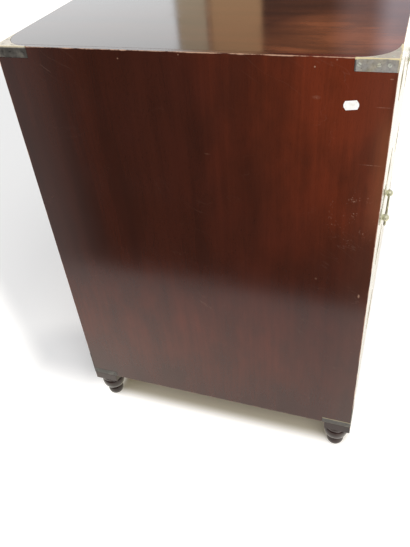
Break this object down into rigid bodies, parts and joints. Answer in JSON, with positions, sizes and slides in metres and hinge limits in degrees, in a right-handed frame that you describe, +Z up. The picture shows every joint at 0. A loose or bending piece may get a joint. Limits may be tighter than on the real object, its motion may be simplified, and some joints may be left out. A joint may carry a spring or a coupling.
{
  "type": "commode chest",
  "caption": "Low wide chest of full-width drawers in dark polished mahogany, with let-in brass corners, flush and bail handles, and turned feet.",
  "frame": {"origin": "on the floor, under the middle of the whole box, front handles included", "axes": "+X to the right seen from the front, +Y to the back, +Z up; the drawers open towards -Y"},
  "size_m": [1.0204, 0.6578, 0.9207],
  "materials": {
    "mahogany": "polished",
    "drawer_wood": "planed, unpolished",
    "corner_brass": "tarnished",
    "handle_brass": "worn",
    "label_paper": "matte"
  },
  "bodies": {
    "carcass": {"side_left": "mahogany", "side_right": "mahogany", "top": "mahogany", "bottom": "mahogany", "back_panel": "mahogany", "dust_board_1": "mahogany", "dust_board_2": "mahogany", "dust_board_3": "mahogany", "corner_top_front_left": "corner_brass", "corner_top_front_right": "corner_brass", "corner_top_back_left": "corner_brass", "corner_top_back_right": "corner_brass", "corner_bottom_front_left": "corner_brass", "corner_bottom_front_right": "corner_brass", "corner_bottom_back_left": "corner_brass", "corner_bottom_back_right": "corner_brass", "foot_front_left": "mahogany", "foot_front_right": "mahogany", "foot_back_left": "mahogany", "foot_back_right": "mahogany"},
    "drawer_1": {"drawer_1_front": "mahogany", "drawer_1_side_left": "drawer_wood", "drawer_1_side_right": "drawer_wood", "drawer_1_back": "drawer_wood", "drawer_1_bottom": "drawer_wood", "drawer_1_plate_left": "handle_brass", "drawer_1_plate_right": "handle_brass"},
    "drop_1_left": {"drawer_1_drop_left": "handle_brass"},
    "drop_1_right": {"drawer_1_drop_right": "handle_brass"},
    "drawer_2": {"drawer_2_front": "mahogany", "drawer_2_side_left": "drawer_wood", "drawer_2_side_right": "drawer_wood", "drawer_2_back": "drawer_wood", "drawer_2_bottom": "drawer_wood", "drawer_2_plate_left": "handle_brass", "drawer_2_plate_right": "handle_brass", "bail_plate_left": "handle_brass", "bail_plate_right": "handle_brass"},
    "drop_2_left": {"drawer_2_drop_left": "handle_brass"},
    "drop_2_right": {"drawer_2_drop_right": "handle_brass"},
    "bail_left": {"bail_left": "handle_brass"},
    "bail_right": {"bail_right": "handle_brass"},
    "drawer_3": {"drawer_3_front": "mahogany", "drawer_3_side_left": "drawer_wood", "drawer_3_side_right": "drawer_wood", "drawer_3_back": "drawer_wood", "drawer_3_bottom": "drawer_wood", "drawer_3_plate_left": "handle_brass", "drawer_3_plate_right": "handle_brass"},
    "drop_3_left": {"drawer_3_drop_left": "handle_brass"},
    "drop_3_right": {"drawer_3_drop_right": "handle_brass"},
    "drawer_4": {"drawer_4_front": "mahogany", "drawer_4_side_left": "drawer_wood", "drawer_4_side_right": "drawer_wood", "drawer_4_back": "drawer_wood", "drawer_4_bottom": "drawer_wood", "drawer_4_plate_left": "handle_brass", "drawer_4_plate_right": "handle_brass"},
    "drop_4_left": {"drawer_4_drop_left": "handle_brass"},
    "drop_4_right": {"drawer_4_drop_right": "handle_brass"}
  },
  "joints": [
    {"name": "drawer_1_slide", "type": "slide", "parent": "carcass", "child": "drawer_1", "axis": [0, -1, 0], "range_m": [0, 0.4]},
    {"name": "drawer_2_slide", "type": "slide", "parent": "carcass", "child": "drawer_2", "axis": [0, -1, 0], "range_m": [0, 0.4]},
    {"name": "drawer_3_slide", "type": "slide", "parent": "carcass", "child": "drawer_3", "axis": [0, -1, 0], "range_m": [0, 0.4]},
    {"name": "drawer_4_slide", "type": "slide", "parent": "carcass", "child": "drawer_4", "axis": [0, -1, 0], "range_m": [0, 0.4]},
    {"name": "drop_1_left_hinge", "type": "hinge", "parent": "drawer_1", "child": "drop_1_left", "pos_m": [-0.256, -0.31195, 0.8074], "axis": [-1, 0, 0], "range_deg": [0, 100]},
    {"name": "drop_1_right_hinge", "type": "hinge", "parent": "drawer_1", "child": "drop_1_right", "pos_m": [0.256, -0.31195, 0.8074], "axis": [-1, 0, 0], "range_deg": [0, 100]},
    {"name": "drop_2_left_hinge", "type": "hinge", "parent": "drawer_2", "child": "drop_2_left", "pos_m": [-0.256, -0.31195, 0.6259], "axis": [-1, 0, 0], "range_deg": [0, 100]},
    {"name": "drop_2_right_hinge", "type": "hinge", "parent": "drawer_2", "child": "drop_2_right", "pos_m": [0.256, -0.31195, 0.6259], "axis": [-1, 0, 0], "range_deg": [0, 100]},
    {"name": "bail_left_hinge", "type": "hinge", "parent": "drawer_2", "child": "bail_left", "pos_m": [-0.387, -0.32225, 0.6145], "axis": [-1, 0, 0], "range_deg": [0, 165]},
    {"name": "bail_right_hinge", "type": "hinge", "parent": "drawer_2", "child": "bail_right", "pos_m": [0.387, -0.32225, 0.6145], "axis": [-1, 0, 0], "range_deg": [0, 165]},
    {"name": "drop_3_left_hinge", "type": "hinge", "parent": "drawer_3", "child": "drop_3_left", "pos_m": [-0.256, -0.31195, 0.4389], "axis": [-1, 0, 0], "range_deg": [0, 100]},
    {"name": "drop_3_right_hinge", "type": "hinge", "parent": "drawer_3", "child": "drop_3_right", "pos_m": [0.256, -0.31195, 0.4389], "axis": [-1, 0, 0], "range_deg": [0, 100]},
    {"name": "drop_4_left_hinge", "type": "hinge", "parent": "drawer_4", "child": "drop_4_left", "pos_m": [-0.256, -0.31195, 0.2444], "axis": [-1, 0, 0], "range_deg": [0, 100]},
    {"name": "drop_4_right_hinge", "type": "hinge", "parent": "drawer_4", "child": "drop_4_right", "pos_m": [0.256, -0.31195, 0.2444], "axis": [-1, 0, 0], "range_deg": [0, 100]}
  ]
}
